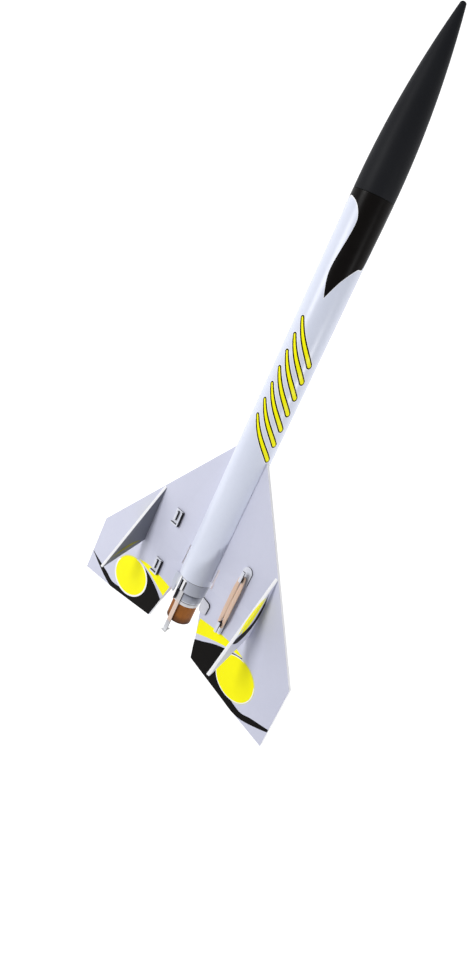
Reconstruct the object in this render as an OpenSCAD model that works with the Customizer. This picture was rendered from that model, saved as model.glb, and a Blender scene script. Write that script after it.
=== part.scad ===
// Model rocket: delta-wing glider rocket with a fin and a rubber-band elevon on each wing.
// Millimetres. +Z runs along the body towards the nose and z = 0 is the rear end of the body tube.
// +X is the right wing. -Y is the upper side, where the fins stand.
// The left elevon group is the right one turned half a turn about Z, so its band is underneath.

/* [Body tube and nose] */
// outside radius of the body tube
tube_r = 12.4; // [12.2:0.1:12.8]
// wall thickness of the body tube
tube_wall = 0.5; // [0.4:0.05:0.6]
// length of the body tube
tube_len = 261; // [240:1:300]
// length of the nose cone in front of the tube
nose_len = 99; // [80:1:120]
// radius of the blunt nose tip
nose_tip_r = 1.6; // [1:0.1:2]
// wall thickness of the hollow nose cone
nose_wall = 1.2; // [1:0.1:1.6]
// length of the nose shoulder inside the tube
shoulder_len = 20; // [15:1:30]

/* [Wings] */
// thickness of the wing sheet
wing_t = 2.4; // [2:0.1:3]
// height of the leading edge where it meets the tube
lead_root_z = 97; // [90:1:110]
// half span at the wing tip
half_span = 98; // [90:1:110]
// height of the front end of the tip edge
tip_front_z = -15.6; // [-20:0.2:-10]
// height of the rear end of the tip edge
tip_rear_z = -61; // [-70:1:-58]
// height of the hinge line between wing and elevon
hinge_z = 4.5; // [4:0.1:6]
// gap between the wing and the elevon
hinge_gap = 0.25; // [0.2:0.05:0.5]
// distance from the centre line to the outer edge of the elevon
elevon_out_x = 51.8; // [48:0.2:52]

/* [Fins] */
// distance of a fin from the centre line at its root
fin_x = 55.5; // [54.5:0.1:57]
// thickness of the fin sheet
fin_t = 2.4; // [1.6:0.1:2.8]
// height of the fin tip above the wing
fin_h = 29; // [24:1:32]
// how far the fin tip leans outwards
fin_lean = 2.3; // [0:0.1:3]

/* [Motor and mount] */
// radius of the motor casing
motor_r = 8.75; // [8.7:0.05:8.8]
// length of the motor casing
motor_len = 70; // [65:1:75]
// height of the rear end of the motor
motor_rear_z = -34.5; // [-36:0.5:-33]
// bore radius of the mount tube
mount_bore_r = 9; // [8.95:0.05:9]
// outside radius of the mount tube
mount_r = 9.35; // [9.3:0.05:9.4]
// height of the rear end of the mount tube
mount_rear_z = -19.9; // [-21:0.1:-18]
// outside radius of the sleeve round the rear of the mount tube
sleeve_r = 9.9; // [9.7:0.05:10.1]
// height of the rear end of the sleeve
sleeve_rear_z = -16.8; // [-17.5:0.1:-15]
// outside radius of the release collar
collar_r = 12; // [11.9:0.1:12.2]
// height of the rear end of the release collar
collar_rear_z = -9.2; // [-10:0.1:-8]
// angle of the engine hook around the tube, from the upper side towards +X
hook_turn = 3; // [0:1:6]
// height at which the free part of the engine hook starts
hook_bend_z = 3; // [2:0.5:5]
// width of the engine hook strip
hook_w = 3.3; // [2.8:0.1:3.5]
// free travel of the motor back to the engine hook's finger
motor_travel = 7; // [5:0.5:8]

/* [Band hooks and lug] */
// distance of the slot's middle beside the wing root from the centre line
slot_x = 14.7; // [14.4:0.1:15]
// distance of the band hooks from the centre line
band_x = 35.2; // [34:0.2:37]
// height of the front band hook
front_hook_z = 23.6; // [22:0.2:26]
// height of the rear band hook
rear_hook_z = -11.8; // [-13:0.2:-11]
// bore radius of the launch lug
lug_bore_r = 2; // [1.9:0.05:2.2]
// outside radius of the launch lug
lug_r = 2.4; // [2.4:0.05:2.6]
// length of the launch lug
lug_len = 50; // [35:1:60]

/* [View] */
// node to draw, or all of them

/* [Hidden] */
$fn = 64;
tube_bore_r = tube_r - tube_wall;
half_t = wing_t / 2;
nose_base_z = tube_len + 0.1;
// the nose is an ogive whose sharp tip would lie a little past the blunt one
ogive_len = nose_len + 8;
ogive_r = (tube_r * tube_r + ogive_len * ogive_len) / (2 * tube_r);
shoulder_r = tube_bore_r - 0.08;
nose_steps = 28;
elevon_top_z = hinge_z - hinge_gap / 2;
wing_rear_z = hinge_z + hinge_gap / 2;
hook_y = -(mount_r + 0.55);
hook_t = 0.5;
slot_low_z = 0.4;
slot_high_z = 16.2;
slot_half = 0.8;
front_channel_z = 20.5;
rear_channel_z = -20.4;
casing_front_z = motor_rear_z + motor_len;
finger_z = motor_rear_z - motor_travel - 0.5;
lug_x = sqrt(pow(tube_r + lug_r, 2) - pow(half_t + lug_r, 2));
lug_z = 25;
lead_slope = (lead_root_z - tip_front_z) / (half_span - tube_r);

colour_white = [0.80, 0.81, 0.86];
colour_black = [0.08, 0.08, 0.09];
colour_paper = [0.55, 0.34, 0.14];
colour_steel = [0.75, 0.76, 0.78];
colour_band = [0.80, 0.68, 0.55];
colour_grey = [0.62, 0.63, 0.67];
colour_clay = [0.55, 0.50, 0.45];

// radius of the ogive at distance d in front of its base
function ogive(d) = sqrt(ogive_r * ogive_r - d * d) - (ogive_r - tube_r);

// copies its children to the other side by a half turn about the rocket's axis
module other_side() {
    rotate([0, 0, 180]) children();
}

// sheet of a given thickness lying in the wing plane, drawn as [x, z] points
module sheet(t) {
    rotate([90, 0, 0]) linear_extrude(height = t, center = true) children();
}

// plate from y0 down to y1 in the wing plane, drawn as [x, z] points
module plate(y0, y1) {
    translate([0, y0, 0]) rotate([90, 0, 0]) linear_extrude(height = y0 - y1) children();
}

// ring around the rocket's axis
module ring(r_out, r_in, z0, z1) {
    rotate_extrude() translate([r_in, z0]) square([r_out - r_in, z1 - z0]);
}

// ---- body and nose ----

module body_tube() {
    color(colour_white) ring(tube_r, tube_bore_r, 0, tube_len);
}

module stop_ring() {
    color(colour_paper) difference() {
        ring(tube_bore_r, mount_r + 0.4, 20, 24);
        rotate([0, 0, hook_turn]) translate([-2.6, -14, 19]) cube([5.2, 8, 6]);
    }
}

module nose_cone() {
    outer = [for (i = [0:nose_steps]) [ogive(nose_len * i / nose_steps), nose_len * i / nose_steps]];
    tip = [for (a = [20:10:90]) [nose_tip_r * cos(a), nose_len + nose_tip_r * (sin(a) - 0.35)]];
    inner_len = nose_len - 12;
    inner = [
        for (i = [nose_steps:-1:0])
            [ogive(inner_len * i / nose_steps) - nose_wall, inner_len * i / nose_steps]
    ];
    color(colour_black) translate([0, 0, nose_base_z]) rotate_extrude()
        polygon(concat(
            [[shoulder_r, 0]], outer, tip, [[0, inner_len]], inner,
            [[shoulder_r - nose_wall, 0], [shoulder_r - nose_wall, -shoulder_len], [shoulder_r, -shoulder_len]]
        ));
}

module nose_plug() {
    color(colour_black) translate([0, 0, nose_base_z - shoulder_len]) union() {
        ring(shoulder_r - nose_wall, 0, 0, 2);
        translate([0, 0, -3.4]) rotate([90, 0, 0]) rotate_extrude() translate([2.9, 0]) circle(r = 0.8);
    }
}

module nose_weight() {
    z0 = 60;
    z1 = nose_len - 14;
    steps = 8;
    rise = (z1 - z0) / steps;
    side = [for (i = [0:steps]) [ogive(z0 + rise * i) - nose_wall - 0.1, z0 + rise * i]];
    color(colour_clay) translate([0, 0, nose_base_z]) rotate_extrude()
        polygon(concat([[0, z0]], side, [[0, z1]]));
}

// ---- wings, fins and elevons ----

// outline of the whole right wing, elevon included
module wing_outline() {
    polygon([
        [11, lead_root_z + 1.4 * lead_slope],
        [half_span, tip_front_z],
        [half_span + 0.6, tip_rear_z],
        [69, -58],
        [23.7, -51],
        [20.1, -35.5],
        [16.5, -24.3],
        [14.5, -17.3],
        [13.3, -9],
        [13.3, slot_low_z],
        [11, slot_low_z]
    ]);
}

// narrow slot beside the wing root, which runs on into the elevon's inner corner
module root_slot() {
    translate([slot_x - slot_half, slot_low_z]) square([2 * slot_half, slot_high_z - slot_low_z]);
}

// the fixed wing: the outline less the elevon, the gap round it and the slot beside the tube
module fixed_wing() {
    difference() {
        sheet(wing_t) difference() {
            wing_outline();
            translate([0, -80]) square([elevon_out_x + hinge_gap, wing_rear_z + 80]);
            root_slot();
        }
        translate([0, 0, -1]) cylinder(h = lead_root_z + 20, r = tube_r);
        hook_hole(front_hook_z);
    }
}

module wing_right() {
    color(colour_white) fixed_wing();
}

module wing_left() {
    color(colour_white) mirror([1, 0, 0]) fixed_wing();
}

// upright swept fin on the right wing, with a slight outward lean
module fin_shape() {
    lean_angle = atan(fin_lean / fin_h);
    translate([fin_x, -half_t, 0]) rotate([0, 0, lean_angle]) translate([-fin_t / 2, 0, 0])
        rotate([90, 0, 90]) linear_extrude(height = fin_t)
        polygon([[0, 38.8], [-fin_h + 1.2, -26.6], [-fin_h, -28.6], [-fin_h + 1.4, -28.2], [0, -6]]);
}

// the fin's foot is trimmed flat so that it stands on the wing
module trimmed_fin() {
    difference() {
        fin_shape();
        translate([fin_x - 5, -half_t, -10]) cube([10, 3, 60]);
    }
}

module fin_right() {
    color(colour_white) trimmed_fin();
}

module fin_left() {
    color(colour_white) mirror([1, 0, 0]) trimmed_fin();
}

module elevon_shape() {
    difference() {
        sheet(wing_t) difference() {
            intersection() {
                wing_outline();
                translate([13.3, -80]) square([elevon_out_x - 13.3, elevon_top_z + 80]);
            }
            translate([11, slot_low_z]) square([slot_x + slot_half - 10.7, 10]);
        }
        hook_hole(rear_hook_z);
    }
}

module elevon_right() {
    color(colour_white) elevon_shape();
}

module elevon_left() {
    color(colour_white) mirror([1, 0, 0]) elevon_shape();
}

// thin film across the hinge line, on the side the elevon swings to
module hinge_strip_shape() {
    plate(-half_t, -half_t - 0.15) translate([16, hinge_z - 4]) square([elevon_out_x - 17, 8]);
}

module hinge_strip_right() {
    color(colour_white) hinge_strip_shape();
}

module hinge_strip_left() {
    color(colour_white) other_side() hinge_strip_shape();
}

// pale plate on the notch edge of the elevon, which the release collar lets go
module latch_tab_shape() {
    plate(-half_t, -half_t - 1.3) polygon([
        [13.3, -7.2], [19.6, -8.4], [20.8, -10], [20.4, -16.2], [19.4, -17.4], [14.6, -17.4], [13.3, -15]
    ]);
}

module latch_tab_right() {
    color(colour_steel) latch_tab_shape();
}

module latch_tab_left() {
    color(colour_steel) other_side() latch_tab_shape();
}

// ---- band hooks, bands and strands ----

// hook for the band: a foot and a headed post on the upper side and a channel underneath
// end = 1 turns the foot and the post's head towards the nose, -1 towards the tail
// channel_z is the height of the channel's closed rear end
module band_hook(z, end, foot_w, channel_z) {
    translate([band_x, 0, z]) end_for_end(end) {
        plate(-half_t, -half_t - 0.8) union() {
            translate([-foot_w / 2, -3.4]) square([foot_w, 12.4 - foot_w / 2]);
            translate([0, 9 - foot_w / 2]) circle(r = foot_w / 2);
        }
        translate([-1, -half_t - 4.6, -1.5]) cube([2, wing_t + 4.7, 3]);
        translate([-1.1, -half_t - 5.4, -1.5]) cube([2.2, 0.9, 8]);
    }
    translate([band_x, half_t, channel_z]) {
        translate([-4.6, 0, 0]) cube([7.2, 0.8, 11.6]);
        translate([-4.6, 0, 0]) cube([1.1, 2.6, 11.4]);
        translate([-0.9, 0, 3.6]) cube([1.3, 2.6, 6.8]);
        translate([-4.6, 0, 0]) cube([7.2, 2.6, 1.1]);
    }
}

// turns its children end for end in the wing plane when end is -1
module end_for_end(end) {
    rotate([0, end > 0 ? 0 : 180, 0]) children();
}

// hole through the sheet for a hook's web
module hook_hole(z) {
    translate([band_x - 1, -wing_t, z - 1.5]) cube([2, 2 * wing_t, 3]);
}

module front_hook_right() {
    color(colour_steel) band_hook(front_hook_z, 1, 7.6, front_channel_z);
}

module front_hook_left() {
    color(colour_steel) other_side() band_hook(front_hook_z, 1, 7.6, front_channel_z);
}

module rear_hook_right() {
    color(colour_steel) band_hook(rear_hook_z, -1, 4.6, rear_channel_z);
}

module rear_hook_left() {
    color(colour_steel) other_side() band_hook(rear_hook_z, -1, 4.6, rear_channel_z);
}

// rubber band: a slim loop round the two posts
module band_shape() {
    top = front_hook_z + 2.6;
    low = rear_hook_z - 2.6;
    mid = (top + low) / 2;
    plate(-half_t - 2.2, -half_t - 3.6) difference() {
        polygon([
            [band_x - 2.6, top], [band_x + 2.6, top], [band_x + 4, mid + 6], [band_x + 4, mid - 4],
            [band_x + 2.6, low], [band_x - 2.6, low], [band_x - 4, mid - 4], [band_x - 4, mid + 6]
        ]);
        polygon([
            [band_x - 1.5, top - 1], [band_x + 1.5, top - 1], [band_x + 1.5, low + 1], [band_x - 1.5, low + 1]
        ]);
    }
}

module band_right() {
    color(colour_band) band_shape();
}

module band_left() {
    color(colour_band) other_side() band_shape();
}

// elastic strand lying in the slot between wing root and tube
module strand_shape() {
    translate([slot_x - 0.5, -half_t + 0.2, slot_low_z + 0.4])
        cube([slot_half + 0.5, 1.2, slot_high_z - slot_low_z - 0.4]);
}

module strand_right() {
    color(colour_band) strand_shape();
}

module strand_left() {
    color(colour_band) other_side() strand_shape();
}

module launch_lug() {
    color(colour_white) translate([lug_x, half_t + lug_r, lug_z]) difference() {
        cylinder(h = lug_len, r = lug_r);
        translate([0, 0, -1]) cylinder(h = lug_len + 2, r = lug_bore_r);
    }
}

// ---- motor mount and motor ----

module mount_tube() {
    color(colour_grey) difference() {
        union() {
            ring(mount_r, mount_bore_r, mount_rear_z, 55);
            ring(sleeve_r, mount_r - 0.1, sleeve_rear_z, collar_rear_z);
        }
        rotate([0, 0, hook_turn]) translate([-2, -12, casing_front_z + 0.3]) cube([4, 5, 2.4]);
        rotate([0, 0, hook_turn]) translate([-2.6, -12, sleeve_rear_z - 1]) cube([5.2, 12 - mount_r, 12]);
    }
}

module mount_front_ring() {
    color(colour_paper) difference() {
        ring(tube_bore_r - 0.3, mount_r, 30, 34);
        rotate([0, 0, hook_turn]) translate([-2.6, -14, 29]) cube([5.2, 8, 6]);
    }
}

// collar with a tunnel for the engine hook, two slits over it and a guide rail
module release_collar() {
    color(colour_grey) difference() {
        union() {
            ring(collar_r, mount_r, collar_rear_z, -0.3);
            ring(tube_bore_r - 0.3, mount_r, -0.4, 7);
            rotate([0, 0, -16]) translate([-0.8, -collar_r - 0.5, -18]) cube([1.6, 2.4, 17.5]);
        }
        rotate([0, 0, hook_turn]) translate([-2.2, -10.95, -20]) cube([4.4, 2.5, 30]);
        rotate([0, 0, -6]) translate([-0.8, -14, -11]) cube([1.6, 5, 9.5]);
        rotate([0, 0, 10]) translate([-0.7, -14, -11]) cube([1.4, 5, 9.5]);
    }
}

// pale tapered dog set on the collar's side, just clear of the left elevon's inner corner
module latch_dog() {
    color(colour_grey) difference() {
        plate(-half_t - 0.3, -half_t - 1.5) polygon([
            [-11.3, -5.4], [-15.7, -5.8], [-16, -13.6], [-12.8, -21], [-11.7, -20.4], [-11, -9.2]
        ]);
        translate([0, 0, collar_rear_z]) cylinder(h = 20, r = collar_r);
    }
}

module thrust_ring() {
    color(colour_paper) ring(mount_bore_r, 6.5, casing_front_z + 3.5, casing_front_z + 9);
}

// flat strip of the engine hook between two heights
module hook_strip(low, high) {
    translate([-hook_w / 2, hook_y - hook_t / 2, low]) cube([hook_w, hook_t, high - low]);
}

// front part of the engine hook, fast in the mount, with the lug that stops the motor
module hook_anchor() {
    front_z = casing_front_z + 1.2;
    color(colour_steel) rotate([0, 0, hook_turn]) union() {
        hook_strip(hook_bend_z + 0.1, front_z + hook_t);
        translate([-1.8, hook_y - hook_t / 2, front_z]) cube([3.6, 2.2, hook_t]);
    }
}

// free rear part of the engine hook, with the finger behind the motor and the pull tab
module engine_hook() {
    rear_z = finger_z - 1;
    color(colour_steel) rotate([0, 0, hook_turn]) union() {
        hook_strip(rear_z, hook_bend_z);
        translate([-hook_w / 2, hook_y - hook_t / 2, finger_z - hook_t]) cube([hook_w, 3.4, hook_t]);
        translate([-1.9, hook_y - 2.2, rear_z - 0.4]) cube([3.8, 2.4, hook_t]);
    }
}

module motor_casing() {
    color(colour_paper) ring(motor_r, 6.3, motor_rear_z, casing_front_z);
}

module motor_nozzle() {
    color(colour_clay) translate([0, 0, motor_rear_z]) rotate_extrude()
        polygon([[3.4, 1.5], [6.3, 1.5], [6.3, 12], [1.6, 12], [1.2, 7]]);
}

module motor_propellant() {
    color(colour_black) ring(6.3, 0, motor_rear_z + 12, motor_rear_z + 40);
}

module motor_delay() {
    color(colour_clay) ring(6.3, 0, motor_rear_z + 40, motor_rear_z + 52);
}

module motor_charge() {
    color(colour_black) ring(6.3, 0, motor_rear_z + 52, motor_rear_z + 57);
}

module motor_cap() {
    color(colour_clay) ring(6.3, 0, motor_rear_z + 57, motor_rear_z + 60);
}

body_tube();
stop_ring();
nose_cone();
nose_plug();
nose_weight();
wing_left();
wing_right();
fin_left();
fin_right();
elevon_left();
elevon_right();
hinge_strip_left();
hinge_strip_right();
front_hook_left();
front_hook_right();
rear_hook_left();
rear_hook_right();
latch_tab_left();
latch_tab_right();
band_left();
band_right();
strand_left();
strand_right();
launch_lug();
mount_tube();
mount_front_ring();
release_collar();
latch_dog();
thrust_ring();
hook_anchor();
engine_hook();
motor_casing();
motor_nozzle();
motor_propellant();
motor_delay();
motor_charge();
motor_cap();
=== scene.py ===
import math

import bmesh
import bpy
from mathutils import Euler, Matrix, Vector, geometry


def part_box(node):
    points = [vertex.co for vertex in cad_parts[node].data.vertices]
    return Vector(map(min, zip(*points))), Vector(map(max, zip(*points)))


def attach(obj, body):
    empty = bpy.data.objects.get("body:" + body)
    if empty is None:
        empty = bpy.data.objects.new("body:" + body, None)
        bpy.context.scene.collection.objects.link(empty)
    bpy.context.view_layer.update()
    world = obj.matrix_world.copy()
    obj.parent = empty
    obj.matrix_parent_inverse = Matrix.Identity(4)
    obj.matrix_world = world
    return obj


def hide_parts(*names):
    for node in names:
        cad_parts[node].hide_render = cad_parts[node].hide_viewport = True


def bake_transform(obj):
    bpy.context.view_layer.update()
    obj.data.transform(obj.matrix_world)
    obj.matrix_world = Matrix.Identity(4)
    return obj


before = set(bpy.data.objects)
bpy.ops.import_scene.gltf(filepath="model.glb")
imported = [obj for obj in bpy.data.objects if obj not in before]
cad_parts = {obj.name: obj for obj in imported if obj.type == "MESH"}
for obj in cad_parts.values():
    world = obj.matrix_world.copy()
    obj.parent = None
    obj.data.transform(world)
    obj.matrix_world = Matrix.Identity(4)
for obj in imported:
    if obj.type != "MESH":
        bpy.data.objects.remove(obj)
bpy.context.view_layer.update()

MM = 0.001

# ---------------------------------------------------------------- sizes read from the frame
TUBE_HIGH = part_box("body_tube")[1]
TUBE_R = TUBE_HIGH.x
TUBE_TOP = TUBE_HIGH.z
NOSE_LOW, NOSE_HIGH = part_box("nose_cone")
SHOULDER_Z = NOSE_LOW.z
NOSE_BASE = TUBE_TOP + 0.1 * MM
WING_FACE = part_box("wing_right")[1].y
ELEVON_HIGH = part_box("elevon_right")[1]
MOTOR_LOW, MOTOR_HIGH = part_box("motor_casing")
LUG_LOW, LUG_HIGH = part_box("launch_lug")
FIN_LOW, FIN_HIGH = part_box("fin_right")
GAP = 0.25 * MM
HINGE_Z = ELEVON_HIGH.z + GAP / 2


# ---------------------------------------------------------------- materials
def srgb(r, g, b):
    """Linear colour of a display colour given in 0..255."""
    def one(c):
        c /= 255.0
        return c / 12.92 if c <= 0.04045 else ((c + 0.055) / 1.055) ** 2.4
    return (one(r), one(g), one(b), 1.0)


class Shader:
    """A node material under construction, with short calls for the nodes used here."""

    def __init__(self, name, rough=0.5, metal=0.0, coat=0.0, coat_rough=0.1, specular=0.5):
        self.material = bpy.data.materials.new(name)
        self.material.use_nodes = True
        self.tree = self.material.node_tree
        self.links = self.tree.links
        self.bsdf = self.tree.nodes["Principled BSDF"]
        self.bsdf.inputs["Roughness"].default_value = rough
        self.bsdf.inputs["Metallic"].default_value = metal
        self.bsdf.inputs["Coat Weight"].default_value = coat
        self.bsdf.inputs["Coat Roughness"].default_value = coat_rough
        self.bsdf.inputs["Specular IOR Level"].default_value = specular
        self.place = self.node("ShaderNodeTexCoord").outputs["Object"]

    def node(self, kind, **values):
        made = self.tree.nodes.new(kind)
        for key, value in values.items():
            setattr(made, key, value)
        return made

    def mapped(self, scale, turn=(0, 0, 0)):
        mapping = self.node("ShaderNodeMapping")
        mapping.inputs["Scale"].default_value = scale
        mapping.inputs["Rotation"].default_value = turn
        self.links.new(self.place, mapping.inputs["Vector"])
        return mapping.outputs["Vector"]

    def noise(self, scale, detail=3.0, stretch=(1, 1, 1), turn=(0, 0, 0), rough=0.5):
        made = self.node("ShaderNodeTexNoise")
        made.inputs["Scale"].default_value = scale
        made.inputs["Detail"].default_value = detail
        made.inputs["Roughness"].default_value = rough
        self.links.new(self.mapped(stretch, turn), made.inputs["Vector"])
        return made.outputs["Fac"]

    def ramp(self, value, low, high, colours):
        made = self.node("ShaderNodeValToRGB")
        made.color_ramp.elements[0].position = low
        made.color_ramp.elements[1].position = high
        made.color_ramp.elements[0].color = colours[0]
        made.color_ramp.elements[1].color = colours[1]
        self.links.new(value, made.inputs["Fac"])
        return made.outputs["Color"]

    def blend_colour(self, factor, a, b, mode="MIX"):
        made = self.node("ShaderNodeMix", data_type="RGBA", blend_type=mode)
        for socket, value in (("Factor", factor), ("A", a), ("B", b)):
            named = [entry for entry in made.inputs if entry.name == socket]
            found = [entry for entry in named if socket == "Factor" or entry.type == "RGBA"][0]
            if isinstance(value, (tuple, float)):
                found.default_value = value
            else:
                self.links.new(value, found)
        return [s for s in made.outputs if s.type == "RGBA"][0]

    def math(self, operation, a, b=None, clamp=False):
        made = self.node("ShaderNodeMath", operation=operation, use_clamp=clamp)
        for socket, value in zip(made.inputs, (a, b)):
            if value is None:
                continue
            if isinstance(value, (int, float)):
                socket.default_value = value
            else:
                self.links.new(value, socket)
        return made.outputs[0]

    def spread(self, value, low, high):
        made = self.node("ShaderNodeMapRange")
        made.inputs["To Min"].default_value = low
        made.inputs["To Max"].default_value = high
        self.links.new(value, made.inputs["Value"])
        return made.outputs[0]

    def colour(self, value):
        if isinstance(value, tuple):
            self.bsdf.inputs["Base Color"].default_value = value
        else:
            self.links.new(value, self.bsdf.inputs["Base Color"])

    def roughness(self, value):
        self.links.new(value, self.bsdf.inputs["Roughness"])

    def bump(self, *heights, distance=0.0001):
        """Adds up (height, strength) pairs as bumps."""
        normal = None
        for height, strength in heights:
            made = self.node("ShaderNodeBump")
            made.inputs["Strength"].default_value = strength
            made.inputs["Distance"].default_value = distance
            self.links.new(height, made.inputs["Height"])
            if normal is not None:
                self.links.new(normal, made.inputs["Normal"])
            normal = made.outputs["Normal"]
        self.links.new(normal, self.bsdf.inputs["Normal"])

    def spiral_seam(self, pitch, width):
        """Height field of the helical joint of a wound paper tube round Z: 0 in the joint, 1 elsewhere."""
        parts = self.node("ShaderNodeSeparateXYZ")
        self.links.new(self.place, parts.inputs[0])
        angle = self.math("ARCTAN2", parts.outputs["Y"], parts.outputs["X"])
        turns = self.math("DIVIDE", angle, 2 * math.pi)
        rise = self.math("DIVIDE", parts.outputs["Z"], pitch)
        phase = self.math("FRACT", self.math("ADD", rise, turns))
        away = self.math("ABSOLUTE", self.math("SUBTRACT", phase, 0.5))
        return self.math("DIVIDE", away, width / pitch, clamp=True)


def paint(name, base, shade, rough=0.42, grain=(1, 1, 1), grain_turn=(0, 0, 0), grain_strength=0.12):
    """Sprayed paint: slow colour drift, a trace of the grain below, fine orange peel."""
    s = Shader(name, rough=rough, coat=0.15, coat_rough=0.35)
    drift = s.noise(22, 4)
    colour = s.blend_colour(s.spread(drift, 0.15, 0.85), base, shade)
    dust = s.noise(420, 5, rough=0.7)
    fade = s.ramp(dust, 0.35, 0.75, ((0.975, 0.975, 0.98, 1), (1, 1, 1, 1)))
    colour = s.blend_colour(1.0, colour, fade, "MULTIPLY")
    fibre = s.noise(130, 4, stretch=grain, turn=grain_turn)
    heights = [(fibre, grain_strength), (s.noise(1500, 2), 0.05)]
    s.colour(colour)
    s.roughness(s.spread(s.noise(70, 3), rough - 0.07, rough + 0.09))
    s.bump(*heights)
    return s.material


def film(name, base, shade, rough=0.3, specular=0.12):
    """Printed decal film: flat ink with faint mottling and tiny pinholes in the gloss."""
    s = Shader(name, rough=rough, specular=specular)
    s.colour(s.blend_colour(s.spread(s.noise(160, 4), 0.1, 0.9), base, shade))
    s.roughness(s.spread(s.noise(260, 4), rough - 0.08, rough + 0.12))
    s.bump((s.noise(900, 3), 0.04), (s.noise(60, 2), 0.06))
    return s.material


def gloss_plastic(name, base, shade, rough=0.16, parting=False, coat=0.3, specular=0.5):
    s = Shader(name, rough=rough, coat=coat, coat_rough=0.08, specular=specular)
    colour = s.blend_colour(s.spread(s.noise(40, 3), 0.1, 0.9), base, shade)
    heights = [(s.noise(240, 3), 0.03), (s.noise(1800, 2), 0.02)]
    if parting:
        parts = s.node("ShaderNodeSeparateXYZ")
        s.links.new(s.place, parts.inputs[0])
        line = s.math("DIVIDE", s.math("ABSOLUTE", parts.outputs["X"]), 0.00022, clamp=True)
        heights.append((line, 0.25))
    s.colour(colour)
    scuffs = s.noise(90, 6, stretch=(1, 1, 0.25), rough=0.7)
    s.roughness(s.spread(scuffs, rough - 0.04, rough + 0.16))
    s.bump(*heights)
    return s.material


def metal(name, base, shade, rough=0.28, along=(1, 1, 0.04), share=1.0):
    s = Shader(name, rough=rough, metal=share)
    brushed = s.noise(700, 3, stretch=along)
    s.colour(s.blend_colour(s.spread(s.noise(120, 4), 0, 1), base, shade))
    s.roughness(s.spread(brushed, rough - 0.08, rough + 0.18))
    s.bump((brushed, 0.10))
    return s.material


def paper(name, base, shade, pitch=0.03, rough=0.72, burn=None):
    """Bare wound paper: fibres, winding joint, and scorching towards one end if burn is (z, length)."""
    s = Shader(name, rough=rough, specular=0.3)
    fibres = s.noise(520, 6, stretch=(1, 1, 0.35), rough=0.75)
    colour = s.blend_colour(s.spread(fibres, 0.0, 1.0), base, shade)
    blotch = s.ramp(s.noise(45, 5), 0.35, 0.7, ((0.86, 0.84, 0.8, 1), (1, 1, 1, 1)))
    colour = s.blend_colour(1.0, colour, blotch, "MULTIPLY")
    joint = s.spiral_seam(pitch, 0.0006)
    colour = s.blend_colour(s.math("SUBTRACT", 1.0, joint), colour, tuple(0.55 * c for c in shade[:3]) + (1,))
    if burn:
        parts = s.node("ShaderNodeSeparateXYZ")
        s.links.new(s.place, parts.inputs[0])
        near = s.math("DIVIDE", s.math("SUBTRACT", parts.outputs["Z"], burn[0]), burn[1], clamp=True)
        wander = s.math("MULTIPLY", s.math("SUBTRACT", s.noise(300, 4), 0.5), 0.7)
        ragged = s.math("ADD", near, wander, clamp=True)
        colour = s.blend_colour(s.math("SUBTRACT", 1.0, ragged, clamp=True), colour, srgb(58, 32, 14))
    s.colour(colour)
    s.bump((fibres, 0.25), (joint, 0.4))
    return s.material


def rubber(name, base, shade):
    s = Shader(name, rough=0.6, specular=0.35)
    streak = s.noise(420, 4, stretch=(1, 1, 0.08), rough=0.65)
    s.colour(s.blend_colour(s.spread(streak, 0, 1), base, shade))
    s.bsdf.inputs["Subsurface Weight"].default_value = 0.15
    s.bsdf.inputs["Subsurface Radius"].default_value = (0.002, 0.001, 0.0006)
    s.bump((streak, 0.3), (s.noise(1500, 2), 0.1))
    return s.material


def powdery(name, base, shade, rough=0.85):
    s = Shader(name, rough=rough, specular=0.25)
    grains = s.noise(900, 5, rough=0.8)
    s.colour(s.blend_colour(s.spread(grains, 0, 1), base, shade))
    s.bump((grains, 0.4), (s.noise(150, 4), 0.2))
    return s.material


def by_height(name, stops, rough=0.4, metal_share=0.0):
    """A satin finish whose colour changes along Z at the given (height in mm, colour) stops."""
    s = Shader(name, rough=rough, metal=metal_share, specular=0.4)
    parts = s.node("ShaderNodeSeparateXYZ")
    s.links.new(s.place, parts.inputs[0])
    low, high = stops[0][0], stops[-1][0]
    reach = s.node("ShaderNodeMapRange")
    reach.inputs["From Min"].default_value = low * MM
    reach.inputs["From Max"].default_value = high * MM
    s.links.new(parts.outputs["Z"], reach.inputs["Value"])
    bands = s.node("ShaderNodeValToRGB")
    elements = bands.color_ramp.elements
    while len(elements) < len(stops):
        elements.new(0.5)
    for element, (height, colour) in zip(elements, stops):
        element.position = (height - low) / (high - low)
        element.color = colour
    s.links.new(reach.outputs[0], bands.inputs["Fac"])
    grime = s.ramp(s.noise(300, 5, rough=0.7), 0.3, 0.7, ((0.93, 0.93, 0.94, 1), (1, 1, 1, 1)))
    s.colour(s.blend_colour(1.0, bands.outputs["Color"], grime, "MULTIPLY"))
    s.roughness(s.spread(s.noise(150, 4), rough - 0.08, rough + 0.1))
    s.bump((s.noise(400, 3), 0.08))
    return s.material


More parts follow.
